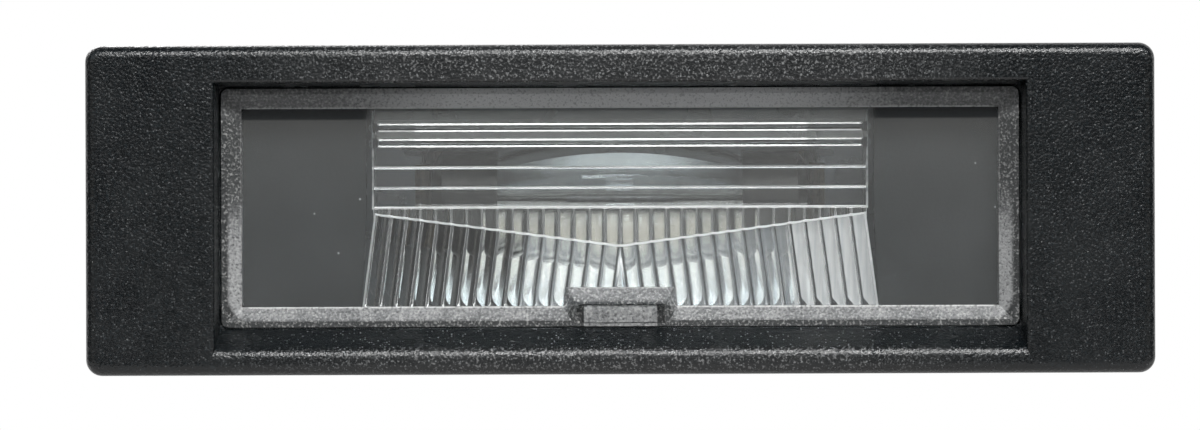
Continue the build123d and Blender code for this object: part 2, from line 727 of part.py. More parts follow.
def retaining_spring():
    # Bent steel strip over the tower: the nose catches behind the edge of the panel cut-out.
    top = FLOOR_BACK + TOWER_H + SPRING_T / 2
    inner_x = TOWER_X - SPRING_T / 2
    turn_x = TOWER_X + TOWER_T + 2 * SPRING_BEND
    nose_x = TRAY_X + SPRING_NOSE
    nose_y = PANEL_T + SPRING_REACH
    path = FilletPolyline(
        (inner_x, top - SPRING_T / 2 - SPRING_LEG),
        (inner_x, top),
        (turn_x, top),
        (nose_x, nose_y),
        (TRAY_X + SPRING_TAIL, nose_y - SPRING_TAIL_LEN),
        radius=(SPRING_FOLD, SPRING_BEND, SPRING_BEND),
    )
    strip = along_z(trace(path, SPRING_T), LENS_Z - SPRING_W / 2, LENS_Z + SPRING_W / 2)
    low_leg = FLOOR_BACK + TOWER_H - SPRING_LEG
    strip -= block(
        TOWER_X - 2,
        TOWER_X + 0.3,
        low_leg + NIB_UP - NIB_FIT,
        low_leg + NIB_UP + NIB_H + NIB_FIT,
        LENS_Z - NIB_W / 2 - NIB_FIT,
        LENS_Z + NIB_W / 2 + NIB_FIT,
    )
    return strip


def pair(name, piece):
    return {name + "_right": piece, name + "_left": mirror(piece, about=Plane.YZ)}


pieces = {
    "housing": housing(),
    "lens": lens(),
    "reflector": reflector(),
    "bulb_glass": bulb_glass(),
    "bulb_filament": bulb_filament(),
    "bulb_carrier": bulb_carrier(),
    "carrier_seal": carrier_seal(),
    "flange_gasket": flange_gasket(),
    "retaining_spring": retaining_spring(),
}
pieces.update(pair("bulb_cap", bulb_cap()))
pieces.update(pair("bulb_solder", bulb_solder()))
pieces.update(pair("bulb_lead", bulb_lead()))
pieces.update(pair("contact", contact()))
pieces.update(pair("terminal", terminal()))

os.makedirs("parts", exist_ok=True)
for name, piece in pieces.items():
    export_step(piece, "parts/" + name + ".step")
    print(name, round(piece.volume, 1))
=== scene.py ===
# %% [markdown]
# # A number plate lamp
# This notebook dresses a small car lamp that the camera sees square on: a long black bezel, a recessed clear lens with
# rods, prisms and flutes on its back, and behind it the bulb, the reflector and the fixings. The solids come packed
# from the construction step and nothing here moves them. Blender adds finishes, light and a camera.

# %% Load the lamp
import math

import bmesh
import bpy
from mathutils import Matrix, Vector


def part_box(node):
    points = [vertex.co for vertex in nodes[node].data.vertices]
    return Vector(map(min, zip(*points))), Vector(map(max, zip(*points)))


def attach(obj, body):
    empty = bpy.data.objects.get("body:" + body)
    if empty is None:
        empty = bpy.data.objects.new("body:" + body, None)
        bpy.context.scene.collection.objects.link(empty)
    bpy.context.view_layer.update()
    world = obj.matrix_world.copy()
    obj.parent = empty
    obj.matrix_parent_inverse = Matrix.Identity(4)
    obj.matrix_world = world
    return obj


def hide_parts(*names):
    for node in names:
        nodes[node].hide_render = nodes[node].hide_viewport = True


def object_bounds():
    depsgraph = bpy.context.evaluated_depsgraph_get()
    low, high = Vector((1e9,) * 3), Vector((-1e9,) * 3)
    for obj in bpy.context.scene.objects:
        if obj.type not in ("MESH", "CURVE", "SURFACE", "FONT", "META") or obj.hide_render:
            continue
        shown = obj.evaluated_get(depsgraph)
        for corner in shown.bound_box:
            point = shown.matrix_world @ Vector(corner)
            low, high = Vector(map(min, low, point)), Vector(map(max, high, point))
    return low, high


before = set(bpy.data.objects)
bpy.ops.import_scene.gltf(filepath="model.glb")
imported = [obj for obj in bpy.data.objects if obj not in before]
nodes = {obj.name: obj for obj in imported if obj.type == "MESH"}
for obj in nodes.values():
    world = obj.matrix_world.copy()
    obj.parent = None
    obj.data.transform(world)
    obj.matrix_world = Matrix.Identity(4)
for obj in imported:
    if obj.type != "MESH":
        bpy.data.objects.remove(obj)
cad_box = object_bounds()
scene = bpy.context.scene
MM = 0.001
print("pieces:", len(nodes), "box in mm:", [[round(c / MM, 2) for c in corner] for corner in cad_box])

# %% [markdown]
# ## Camera
# The photograph looks straight at the bezel, from so far that the walls of the pocket hardly show. A long lens 600 mm
# away gives that; a camera without perspective would hide the walls altogether. The lamp sits a little right of the
# middle and a little high, and leans a fifth of a degree, so the camera is set aside and rolled by that much. Its lens
# shift stays at zero, so other views keep their aim.

# %% Place the camera
PHOTO_WIDTH = 1200
PIXELS_PER_MM = 11.516
PIXELS_ASIDE = 20.3
PIXELS_BELOW = 5.7
LEAN = math.radians(0.2)
DISTANCE = 600 * MM
SENSOR = 36
face_y = cad_box[0][1]
camera_data = bpy.data.cameras.new("camera")
camera_data.sensor_width = SENSOR
camera_data.lens = SENSOR * DISTANCE / (PHOTO_WIDTH / PIXELS_PER_MM * MM)
camera_data.clip_start = 0.01
camera = bpy.data.objects.new("camera", camera_data)
camera.location = (-PIXELS_ASIDE / PIXELS_PER_MM * MM, face_y - DISTANCE, -PIXELS_BELOW / PIXELS_PER_MM * MM)
camera.rotation_euler = (math.radians(90), LEAN, 0)
scene.collection.objects.link(camera)
scene.camera = camera
scene.view_settings.view_transform = "Standard"
print("camera lens in mm:", round(camera_data.lens, 1))

# %% [markdown]
# ## Node helpers
# Every finish below is a small tree of nodes. They could be added one by one, but a few short helpers keep the cells
# readable. The first adds a node and sets its constants; the next ones calculate, ease a value from one range into
# another, and mix two colours. A value may be a number, a colour or the socket of another node.


# %% Write the node helpers
def add_node(tree, kind, settings=None, **inputs):
    node = tree.nodes.new(kind)
    for key, value in (settings or {}).items():
        setattr(node, key, value)
    for key, value in inputs.items():
        node.inputs[key.replace("_", " ")].default_value = value
    return node


def feed(tree, socket, value):
    if isinstance(value, tuple):
        socket.default_value = (*value, 1)
    elif isinstance(value, (int, float)):
        socket.default_value = value
    else:
        tree.links.new(value, socket)


def do_math(tree, operation, first, second=None):
    node = add_node(tree, "ShaderNodeMath", {"operation": operation})
    feed(tree, node.inputs[0], first)
    if second is not None:
        feed(tree, node.inputs[1], second)
    return node.outputs[0]


def multiply(tree, first, second):
    return do_math(tree, "MULTIPLY", first, second)


def ramp_between(tree, value, low, high, to_low=0.0, to_high=1.0):
    node = add_node(tree, "ShaderNodeMapRange", {"interpolation_type": "SMOOTHSTEP"})
    tree.links.new(value, node.inputs["Value"])
    node.inputs["From Min"].default_value = low
    node.inputs["From Max"].default_value = high
    node.inputs["To Min"].default_value = to_low
    node.inputs["To Max"].default_value = to_high
    return node.outputs["Result"]


def mix_colours(tree, amount, first, second):
    node = add_node(tree, "ShaderNodeMix", {"data_type": "RGBA"})
    feed(tree, node.inputs["Factor"], amount)
    feed(tree, node.inputs["A"], first)
    feed(tree, node.inputs["B"], second)
    return node.outputs["Result"]


print("node helpers ready")

# %% [markdown]
# ## Finish helpers
# A finish starts as a new material whose textures follow the object, in metres. Noise is the raw stuff of most of them,
# and many depend on where on the lamp they are, so one helper adds a cloud of noise and one splits a place into its
# axes. Clear plastic and glass would throw black shadows in a path tracer, because light through them is hard to find;
# the last helper lets shadow rays pass with a tint instead.

# %% Write the finish helpers
NOISE_SPAN = (0.3, 0.7)  # nearly all values of a noise texture lie in here


def start_finish(name):
    material = bpy.data.materials.new(name)
    material.use_nodes = True
    tree = material.node_tree
    place = tree.nodes.new("ShaderNodeTexCoord").outputs["Object"]
    return material, tree, tree.nodes["Principled BSDF"], place


def add_cloud(tree, place, scale, detail, rough=0.5):
    cloud = add_node(tree, "ShaderNodeTexNoise", Scale=scale, Detail=detail, Roughness=rough)
    tree.links.new(place, cloud.inputs["Vector"])
    return cloud.outputs[0]


def stretch_place(tree, place, scale):
    mapping = add_node(tree, "ShaderNodeMapping", Scale=scale)
    tree.links.new(place, mapping.inputs["Vector"])
    return mapping.outputs[0]


def split_axes(tree, place):
    axes = add_node(tree, "ShaderNodeSeparateXYZ")
    tree.links.new(place, axes.inputs[0])
    return axes.outputs["X"], axes.outputs["Y"], axes.outputs["Z"]


def mix_shaders(tree, amount, first, second):
    mix = add_node(tree, "ShaderNodeMixShader")
    feed(tree, mix.inputs[0], amount)
    tree.links.new(first.outputs[0], mix.inputs[1])
    tree.links.new(second.outputs[0], mix.inputs[2])
    return mix


def pass_shadow_rays(tree, shader, tint):
    path = add_node(tree, "ShaderNodeLightPath")
    see_through = add_node(tree, "ShaderNodeBsdfTransparent", Color=(*tint, 1))
    mix = mix_shaders(tree, path.outputs["Is Shadow Ray"], shader, see_through)
    tree.links.new(mix.outputs[0], tree.nodes["Material Output"].inputs["Surface"])


print("finish helpers ready")

# %% [markdown]
# ## Room
# What a clear lens shows is mostly what stands round it. The photographer's room is dim, with a large white card ahead
# of the lamp that starts at its height and goes up, warm below and cool above. Only gloss and glass see the card here,
# so that it doesn't flood the black bezel, and plain gloss finds a dark gap in it where the camera stands. White paper
# hangs behind the lamp: the camera sees it all round, gloss and glass see it where it hangs. Card and paper could be
# planes with lamps on them, but as parts of the world they take no room and no light away from other views.

# %% Build the room
ROOM_GREY = (0.085, 0.089, 0.093)
CARD_WARM = (1.0, 0.96, 0.9)
CARD_COOL = (0.86, 0.95, 1.0)
CARD_AHEAD = (-0.2, -0.5)  # these ranges are parts of a direction of length one
CARD_FOOT = (-0.005, 0.04)
CARD_TOP = (0.95, 0.8)
CARD_TURN = (0.18, 0.34)
GAP = (-0.975, -0.85)
GAP_LEVEL = 0.05
PAPER_BEHIND = (0.1, 0.6)
PAPER_LIGHT = 0.35  # paper's share in the light on matt surfaces
world = bpy.data.worlds.new("studio")
scene.world = world
world.use_nodes = True
tree = world.node_tree
tree.nodes.clear()
out = add_node(tree, "ShaderNodeOutputWorld")
path = add_node(tree, "ShaderNodeLightPath")
through = path.outputs["Is Transmission Ray"]
gloss = path.outputs["Is Glossy Ray"]
aim = split_axes(tree, add_node(tree, "ShaderNodeTexCoord").outputs["Generated"])
wall = multiply(tree, ramp_between(tree, aim[1], *CARD_AHEAD), ramp_between(tree, aim[2], *CARD_FOOT))
wall = multiply(tree, wall, ramp_between(tree, aim[2], *CARD_TOP))
wall_colour = mix_colours(tree, ramp_between(tree, aim[2], *CARD_TURN), CARD_WARM, CARD_COOL)
gapped = multiply(tree, gloss, ramp_between(tree, aim[1], *GAP, GAP_LEVEL, 1.0))
card = multiply(tree, wall, do_math(tree, "MAXIMUM", gapped, through))
room = add_node(tree, "ShaderNodeBackground", Strength=1.0)
tree.links.new(mix_colours(tree, card, ROOM_GREY, wall_colour), room.inputs["Color"])
paper = add_node(tree, "ShaderNodeBackground", Color=(1, 1, 1, 1), Strength=1.0)
seen = do_math(tree, "MAXIMUM", do_math(tree, "MAXIMUM", gloss, through), PAPER_LIGHT)
behind = multiply(tree, ramp_between(tree, aim[1], *PAPER_BEHIND), seen)
shown = do_math(tree, "MAXIMUM", behind, path.outputs["Is Camera Ray"])
tree.links.new(mix_shaders(tree, shown, room, paper).outputs[0], out.inputs["Surface"])
print("room:", world.name, "with", len(tree.nodes), "nodes")

# %% [markdown]
# ## Lamps
# Four soft panels light the lamp. The key hangs above and ahead, a little to the right; it draws the bright line along
# the bezel's top edge and the glitter on the roll of its lower bar. A small strip over the camera makes the white lines
# in the rods. A weak fill stands on the left, and one panel behind shows the back in other views. Small lamps would
# give hard sparkles, and a single large one would leave the grain flat.


# %% Hang the lamps
def soft_panel(name, place, wide, high, power, tint):
    data = bpy.data.lights.new(name, "AREA")
    data.shape = "RECTANGLE"
    data.size = wide
    data.size_y = high
    data.energy = power
    data.color = tint
    panel = bpy.data.objects.new(name, data)
    panel.location = place
    panel.rotation_euler = (-Vector(place)).to_track_quat("-Z", "Y").to_euler()
    scene.collection.objects.link(panel)


WHITE = (1.0, 1.0, 1.0)
soft_panel("key_panel", place=(0.09, -0.31, 0.29), wide=0.36, high=0.05, power=2.2, tint=(1.0, 0.99, 0.98))
soft_panel("strip_panel", place=(0.0, -0.42, 0.17), wide=0.06, high=0.2, power=0.16, tint=WHITE)
soft_panel("fill_panel", place=(-0.3, -0.32, 0.17), wide=0.3, high=0.2, power=0.05, tint=(0.95, 0.98, 1.0))
soft_panel("back_panel", place=(-0.18, 0.34, 0.24), wide=0.3, high=0.2, power=1.0, tint=WHITE)

# %% [markdown]
# ## Floor
# The lamp is made to be held by a panel, so the pale floor lies clear below it, out of the photograph's view. It takes
# the soft shadow near the middle and fades to paper white further out. As a source of light it is dimmer than it looks,
# because nothing in the photograph brightens the lamp from below.

# %% Lay the floor
FLOOR_Z = -45 * MM
FLOOR_R = 0.2
FLOOR_SIDES = 96
FLOOR_FADE = (0.05, 0.15)
FLOOR_PALE = (0.82, 0.82, 0.82)
FLOOR_DIM = (0.16, 0.16, 0.16)
mesh = bpy.data.meshes.new("floor")
turns = [2 * math.pi * k / FLOOR_SIDES for k in range(FLOOR_SIDES)]
rim = [(FLOOR_R * math.cos(turn), FLOOR_R * math.sin(turn), 0) for turn in turns]
mesh.from_pydata(rim, [], [tuple(range(FLOOR_SIDES))])
floor = bpy.data.objects.new("floor", mesh)
floor.location = (0, 0, FLOOR_Z)
scene.collection.objects.link(floor)
pale_floor = bpy.data.materials.new("pale_floor")
pale_floor.use_nodes = True
tree = pale_floor.node_tree
tree.nodes.clear()
out = add_node(tree, "ShaderNodeOutputMaterial")
cloth = add_node(tree, "ShaderNodeBsdfDiffuse")
white = add_node(tree, "ShaderNodeEmission", Strength=1.0)
path = add_node(tree, "ShaderNodeLightPath")
tree.links.new(mix_colours(tree, path.outputs["Is Diffuse Ray"], FLOOR_PALE, FLOOR_DIM), cloth.inputs["Color"])
reach = add_node(tree, "ShaderNodeVectorMath", {"operation": "LENGTH"})
tree.links.new(add_node(tree, "ShaderNodeTexCoord").outputs["Object"], reach.inputs[0])
seen = do_math(tree, "MAXIMUM", path.outputs["Is Glossy Ray"], path.outputs["Is Transmission Ray"])
seen = do_math(tree, "MAXIMUM", seen, path.outputs["Is Camera Ray"])
far = multiply(tree, ramp_between(tree, reach.outputs["Value"], *FLOOR_FADE), seen)
tree.links.new(mix_shaders(tree, far, cloth, white).outputs[0], out.inputs["Surface"])
mesh.materials.append(pale_floor)
print("floor at", FLOOR_Z / MM, "mm")

# %% [markdown]
# ## Scattered dots
# Grain and dust both need small dots that lie about at random. Thousands of little meshes would do it, but a cell
# texture costs nothing: each cell has one dot of its own size, and a random number decides whether it stays. What is
# made with it goes into node groups, so that several finishes can share it.


# %% Scatter dots in a group
def start_group(name, inputs, outputs):
    group = bpy.data.node_groups.new(name, "ShaderNodeTree")
    for label, kind, value in inputs:
        socket = group.interface.new_socket(name=label, in_out="INPUT", socket_type=kind)
        if value is not None:
            socket.default_value = value
    for label in outputs:
        group.interface.new_socket(name=label, in_out="OUTPUT", socket_type="NodeSocketFloat")
    return group, group.nodes.new("NodeGroupInput"), group.nodes.new("NodeGroupOutput")


def scatter_dots(tree, place, scale, radius, keep):
    cells = add_node(tree, "ShaderNodeTexVoronoi", Scale=scale, Randomness=1.0)
    tree.links.new(place, cells.inputs["Vector"])
    chance = add_node(tree, "ShaderNodeSeparateColor")
    tree.links.new(cells.outputs["Color"], chance.inputs[0])
    size = ramp_between(tree, chance.outputs["Green"], 0.0, 1.0, radius * 0.4, radius)
    dot = do_math(tree, "SUBTRACT", size, cells.outputs["Distance"])
    dot = ramp_between(tree, dot, 0.0, radius * 0.5)
    return multiply(tree, dot, do_math(tree, "LESS_THAN", chance.outputs["Red"], keep))


print("dots ready")

# %% [markdown]
# ## Moulded grain
# The bezel's mould was spark eroded, so the plastic carries a fine even grain, about a fifth of a millimetre across,
# which breaks every highlight into glitter. A photograph of such a surface could be used as a texture, but noise at the
# right scale stays sharp from any distance. The group gives a height for a Bump node and three masks: the tops of the
# grain, the pits between them, and a few dots for painted glints.

# %% Build the grain group
PIT_SCALE = 0.8
PIT_DEPTH = -0.5
TOPS = (0.5, 0.72)
PITS = (0.3, 0.5)
GLINT_SCALE, GLINT_R, GLINT_SHARE = 1.2, 0.5, 0.24
grain, enter, leave = start_group(
    "moulded_grain",
    [("Place", "NodeSocketVector", None), ("Scale", "NodeSocketFloat", 6000.0)],
    ("Height", "Tops", "Pits", "Glints"),
)
fine = add_node(grain, "ShaderNodeTexNoise", Detail=2.0, Roughness=0.55)
grain.links.new(enter.outputs["Place"], fine.inputs["Vector"])
grain.links.new(enter.outputs["Scale"], fine.inputs["Scale"])
pits = add_node(grain, "ShaderNodeTexVoronoi", Randomness=1.0)
grain.links.new(enter.outputs["Place"], pits.inputs["Vector"])
grain.links.new(multiply(grain, enter.outputs["Scale"], PIT_SCALE), pits.inputs["Scale"])
height = do_math(grain, "ADD", fine.outputs[0], multiply(grain, pits.outputs["Distance"], PIT_DEPTH))
spacing = add_node(grain, "ShaderNodeVectorMath", {"operation": "SCALE"})
grain.links.new(enter.outputs["Place"], spacing.inputs[0])
grain.links.new(enter.outputs["Scale"], spacing.inputs["Scale"])
grain.links.new(height, leave.inputs["Height"])
grain.links.new(ramp_between(grain, fine.outputs[0], *TOPS), leave.inputs["Tops"])
grain.links.new(ramp_between(grain, fine.outputs[0], *PITS, 1.0, 0.0), leave.inputs["Pits"])
# dots for painted glints
glints = scatter_dots(grain, spacing.outputs[0], GLINT_SCALE, GLINT_R, GLINT_SHARE)
grain.links.new(glints, leave.inputs["Glints"])
print("group:", grain.name, "with", len(grain.nodes), "nodes")

# %% [markdown]
# ## Dust
# The lamp has been handled: pale specks lie all over it, with a few short fibres among them. The specks are dots of two
# sizes. The fibres are the same dots, stretched along two slants and bent by a little noise. The group puts out two
# masks, so that a finish may take only one of them.

# %% Build the dust group
FINE_SPECKS = (1700.0, 0.13, 0.16)  # cells to the metre, radius and share of the cells that keep their dot
LARGE_SPECKS = (520.0, 0.075, 0.2)
HAIRS = (900.0, 0.06, 0.05)
HAIR_SLANTS = (0.6, 2.3)
HAIR_STRETCH = (0.1, 1.0, 1.0)
HAIR_BEND = (0.0006, 0.0006, 0.0006)
dust, enter, leave = start_group("dust", [("Place", "NodeSocketVector", None)], ("Specks", "Fibres"))
spot = enter.outputs["Place"]
specks = do_math(dust, "MAXIMUM", scatter_dots(dust, spot, *FINE_SPECKS), scatter_dots(dust, spot, *LARGE_SPECKS))
dust.links.new(specks, leave.inputs["Specks"])
fibres = []
for slant in HAIR_SLANTS:
    bend = add_node(dust, "ShaderNodeTexNoise", Scale=700.0)
    dust.links.new(spot, bend.inputs["Vector"])
    shifted = add_node(dust, "ShaderNodeVectorMath", {"operation": "MULTIPLY_ADD"})
    dust.links.new(bend.outputs["Color"], shifted.inputs[0])
    shifted.inputs[1].default_value = HAIR_BEND
    dust.links.new(spot, shifted.inputs[2])
    stretch = add_node(dust, "ShaderNodeMapping", Rotation=(0, slant, 0), Scale=HAIR_STRETCH)
    dust.links.new(shifted.outputs[0], stretch.inputs["Vector"])
    fibres.append(scatter_dots(dust, stretch.outputs[0], *HAIRS))
dust.links.new(do_math(dust, "MAXIMUM", *fibres), leave.inputs["Fibres"])
print("group:", dust.name, "with", len(dust.nodes), "nodes")

# %% [markdown]
# ## Groups in a finish
# A group does nothing until a material holds a node that points to it. One helper places it there with that finish's
# own values, and one sends a height through a Bump node. Real displacement would cost millions of faces for a grain
# that is hardly coarser than a hair.


# %% Place a group in a finish
def use_group(tree, group, place, **inputs):
    node = add_node(tree, "ShaderNodeGroup", {"node_tree": group}, **inputs)
    tree.links.new(place, node.inputs["Place"])
    return node.outputs


def raise_bump(tree, shader, height, strength, depth):
    bump = add_node(tree, "ShaderNodeBump", Strength=strength, Distance=depth)
    tree.links.new(height, bump.inputs["Height"])
    tree.links.new(bump.outputs[0], shader.inputs["Normal"])


print("groups to place:", grain.name, dust.name)

# %% [markdown]
# ## Black plastic
# Housing and bulb carrier are black filled nylon or a like plastic. It is nearly black with a cold tint, and most of
# what the eye sees is gloss on the grain, with painted glitter on it: the tops of the grain are a little lighter and a
# few carry painted glints. Along the middle of the bezel's front the tops of the grain are lighter grey, and towards
# the ends they are darker with fewer painted glints. The carrier comes from a smoother mould, so it has a finer,
# shallower grain.

# %% Make the black plastics
GRAIN_TOP_GLITTER = (0.008, 0.0125, 0.015)
GRAIN_GLINT = (0.17, 0.182, 0.188)
MIDDLE_GREY = (0.5, 0.5, 0.5)
LITTER = (0.42, 0.43, 0.43)
MIDDLE_REACH = (14 * MM, 38 * MM)
FRONT_ONLY = (-5.9 * MM, -5.3 * MM)
END_GLINTS = 0.4
MIDDLE_LOW, MIDDLE_HIGH = 0.06, 0.75


def black_moulding(name, colour, rough, scale, depth, litter_and_middle_grey):
    material, tree, shader, place = start_finish(name)
    x, y, _ = split_axes(tree, place)
    skin = use_group(tree, grain, place, Scale=scale)
    dirt = use_group(tree, dust, place)
    toward_middle = ramp_between(tree, do_math(tree, "ABSOLUTE", x), *MIDDLE_REACH, 1.0, 0.0)
    # painted glints: bright dots that stand for gloss on the grain, fewer towards the ends
    glints = multiply(tree, skin["Glints"], ramp_between(tree, toward_middle, 0.0, 1.0, END_GLINTS, 1.0))
    # tops of the grain lighter grey along the middle of the front, darker towards the ends
    film = ramp_between(tree, skin["Tops"], 0.0, 1.0, MIDDLE_LOW * litter_and_middle_grey, MIDDLE_HIGH * litter_and_middle_grey)
    film = multiply(tree, multiply(tree, toward_middle, film), ramp_between(tree, y, *FRONT_ONLY, 1.0, 0.0))
    litter = multiply(tree, do_math(tree, "MAXIMUM", dirt["Specks"], dirt["Fibres"]), litter_and_middle_grey)
    # tops of the grain a little lighter, as painted glitter
    tint = mix_colours(tree, skin["Tops"], colour, GRAIN_TOP_GLITTER)
    tint = mix_colours(tree, glints, tint, GRAIN_GLINT)
    tint = mix_colours(tree, film, tint, MIDDLE_GREY)
    tint = mix_colours(tree, litter, tint, LITTER)
    tree.links.new(tint, shader.inputs["Base Color"])
    cloud = add_cloud(tree, place, 160.0, 3.0)
    gloss = ramp_between(tree, cloud, *NOISE_SPAN, rough - 0.05, rough + 0.06)
    tree.links.new(gloss, shader.inputs["Roughness"])
    shader.inputs["Specular IOR Level"].default_value = 0.45
    raise_bump(tree, shader, skin["Height"], 1.0, depth)
    return material


bezel_black = black_moulding(
    "bezel_black", (0.0012, 0.0024, 0.0032), rough=0.24, scale=4300.0, depth=0.055 * MM, litter_and_middle_grey=0.45
)
carrier_black = black_moulding(
    "carrier_black", (0.013, 0.013, 0.014), rough=0.34, scale=9000.0, depth=0.015 * MM, litter_and_middle_grey=0.25
)
print("black plastics:", bezel_black.name, carrier_black.name)

# %% [markdown]
# ## Carrier's inner face
# Seen through the optics the back of the chamber is not black but a dull grey that mirrors a little of the room, as if
# the vapour that silvers the reflector had reached it too. A paler plastic would look chalky there, so that face gets a
# thin, dull metal film.

# %% Make the dull film
dull_film, tree, shader, place = start_finish("dull_film")
shader.inputs["Metallic"].default_value = 1.0
cloud = add_cloud(tree, place, 180.0, 4.0)
tint = mix_colours(tree, cloud, (0.08, 0.085, 0.09), (0.14, 0.145, 0.15))
tree.links.new(tint, shader.inputs["Base Color"])
tree.links.new(ramp_between(tree, cloud, *NOISE_SPAN, 0.25, 0.35), shader.inputs["Roughness"])
print("finish:", dull_film.name)

# %% [markdown]
# ## Pocket floor
# Behind the clear ends of the lens the pocket floor is the same plastic, but matt and grey with bloom, so it reads as a
# flat mid grey in which the top bar's shadow shows. It could be a part of the bezel's finish, told apart by depth; a
# finish of its own, given by face, is plainer. A little dust has fallen on it too.

# %% Make the pocket floor
floor_grey, tree, shader, place = start_finish("pocket_floor")
cloud = add_cloud(tree, place, 90.0, 4.0, 0.6)
bloom = mix_colours(tree, ramp_between(tree, cloud, *NOISE_SPAN), (0.012, 0.013, 0.013), (0.02, 0.021, 0.021))
specks = multiply(tree, use_group(tree, dust, place)["Specks"], 0.7)
tree.links.new(mix_colours(tree, specks, bloom, (0.3, 0.3, 0.29)), shader.inputs["Base Color"])
shader.inputs["Roughness"].default_value = 0.85
shader.inputs["Specular IOR Level"].default_value = 0.05
raise_bump(tree, shader, use_group(tree, grain, place, Scale=4000.0)["Height"], 0.5, 0.02 * MM)
print("finish:", floor_grey.name)

# %% [markdown]
# ## Clear lens
# The optics are clear polycarbonate with a faint cold tint, polished by the mould. Streaks and highlights could be
# painted on a flat pane, but here the rods, prisms and flutes are real shapes, so a plain clear shader with the real
# plastic's index of refraction bends the room into them from every side.

# %% Make the clear plastic
LENS_IOR = 1.585
SMEAR = 0.3  # a fibre dulls the polish by this much


def start_lens_finish(name, clear):
    material, tree, shader, place = start_finish(name)
    shader.inputs["Transmission Weight"].default_value = clear
    shader.inputs["IOR"].default_value = LENS_IOR
    return material, tree, shader, place


def smear_polish(tree, shader, place):
    fibres = use_group(tree, dust, place)["Fibres"]
    tree.links.new(multiply(tree, fibres, SMEAR), shader.inputs["Roughness"])


clear_plastic, tree, shader, place = start_lens_finish("clear_plastic", 1.0)
tint = mix_colours(tree, add_cloud(tree, place, 60.0, 3.0), (0.84, 0.93, 0.985), (0.88, 0.955, 1.0))
tree.links.new(tint, shader.inputs["Base Color"])
smear_polish(tree, shader, place)
pass_shadow_rays(tree, shader, (0.93, 0.94, 0.94))
print("finish:", clear_plastic.name)

# %% [markdown]
# ## Hazy window
# The outer face of the window has a thin film of dust and fine scratches. It scatters some of the light, which lays a
# flat grey veil over the black plastic behind it. At the very top of the clear ends, under the top bar, a painted
# shadow of the top bar darkens the veil into a dark band. The flat faces of the upper block, round the rods, carry a
# stronger veil. A fog in the plastic would do it too, but the haze is on the skin, so part of each face is plain matt
# colour.

# %% Make the hazy finishes
VEIL_DULL = (0.86, 0.885, 0.875)
VEIL_PALE = (0.95, 0.97, 0.96)
PAINTED_SHADOW_TONE = (0.1, 0.12, 0.14)
SHADOW_SHARE = 0.8
SHADOW_ABOVE = (7.8 * MM, 8.0 * MM)
SHADOW_BEYOND = (21.6 * MM, 22.6 * MM)


def hazy_finish(name, clear):
    material, tree, shader, place = start_lens_finish(name, clear)
    x, _, z = split_axes(tree, place)
    cloud = add_cloud(tree, place, 110.0, 5.0, 0.6)
    veil = mix_colours(tree, ramp_between(tree, cloud, *NOISE_SPAN), VEIL_DULL, VEIL_PALE)
    # painted shadow of the top bar: a dark band along the top of the clear ends
    beyond = ramp_between(tree, do_math(tree, "ABSOLUTE", x), *SHADOW_BEYOND)
    thin = multiply(tree, ramp_between(tree, z, *SHADOW_ABOVE), beyond)
    veil = mix_colours(tree, multiply(tree, thin, SHADOW_SHARE), veil, PAINTED_SHADOW_TONE)
    tree.links.new(veil, shader.inputs["Base Color"])
    smear_polish(tree, shader, place)
    pass_shadow_rays(tree, shader, (0.9, 0.91, 0.91))
    return material


hazy_plastic = hazy_finish("hazy_plastic", clear=0.94)
veiled_plastic = hazy_finish("veiled_plastic", clear=0.8)
print("finishes:", hazy_plastic.name, veiled_plastic.name)

# %% [markdown]
# ## Fan flutes
# The last flutes on the right end of the fan look flat and pale, as if the mould's polish had worn off there. Those in
# the middle are clearer, with fine streaks along them. In both, painted shade lies as a dark line in the groove between
# two flutes, and widens at the foot. Each flute is one face of the solid, so a finish can be given flute by flute; the
# place across the turned fan, counted in flutes, finds the grooves.

# %% Make the fluted finishes
FLUTE_W = 1.346 * MM
FAN_TURN = math.radians(7.5)
FAN_APEX_Z = -3.2 * MM
FOOT = (-8.5 * MM, -7.7 * MM)
GROOVE_EDGE = 0.08
STREAKS = (3000, 1, 200)


def fluted_finish(name, clear, rough, dark, low, high, shade_line, foot):
    material, tree, shader, place = start_lens_finish(name, clear)
    shader.inputs["Roughness"].default_value = rough
    x, _, z = split_axes(tree, place)
    along = multiply(tree, do_math(tree, "SUBTRACT", z, FAN_APEX_Z), math.sin(FAN_TURN))
    across = multiply(tree, do_math(tree, "ABSOLUTE", x), math.cos(FAN_TURN))
    flutes = do_math(tree, "DIVIDE", do_math(tree, "ADD", across, along), FLUTE_W)
    share = do_math(tree, "FRACT", flutes)
    # painted shade along each groove, wider at the foot
    foot_shade_widening = ramp_between(tree, z, *FOOT, foot, 0.0)
    unshaded_flute = ramp_between(tree, do_math(tree, "SUBTRACT", share, foot_shade_widening), shade_line, shade_line + GROOVE_EDGE)
    cloud = add_cloud(tree, stretch_place(tree, place, STREAKS), 1.0, 3.0)
    pale = mix_colours(tree, ramp_between(tree, cloud, *NOISE_SPAN), low, high)
    tree.links.new(mix_colours(tree, unshaded_flute, dark, pale), shader.inputs["Base Color"])
    pass_shadow_rays(tree, shader, (0.8, 0.8, 0.8))
    return material


# dark is the painted shade in the grooves
satin_plastic = fluted_finish(
    "satin_plastic", clear=0.55, rough=0.2, dark=(0.05, 0.055, 0.06),
    low=(0.75, 0.78, 0.8), high=(0.95, 0.96, 0.97), shade_line=0.2, foot=0.3,
)
streaky_plastic = fluted_finish(
    "streaky_plastic", clear=0.8, rough=0.03, dark=(0.04, 0.045, 0.05),
    low=(0.68, 0.76, 0.83), high=(0.95, 0.99, 1.0), shade_line=0.13, foot=0.0,
)
print("finishes:", satin_plastic.name, streaky_plastic.name)
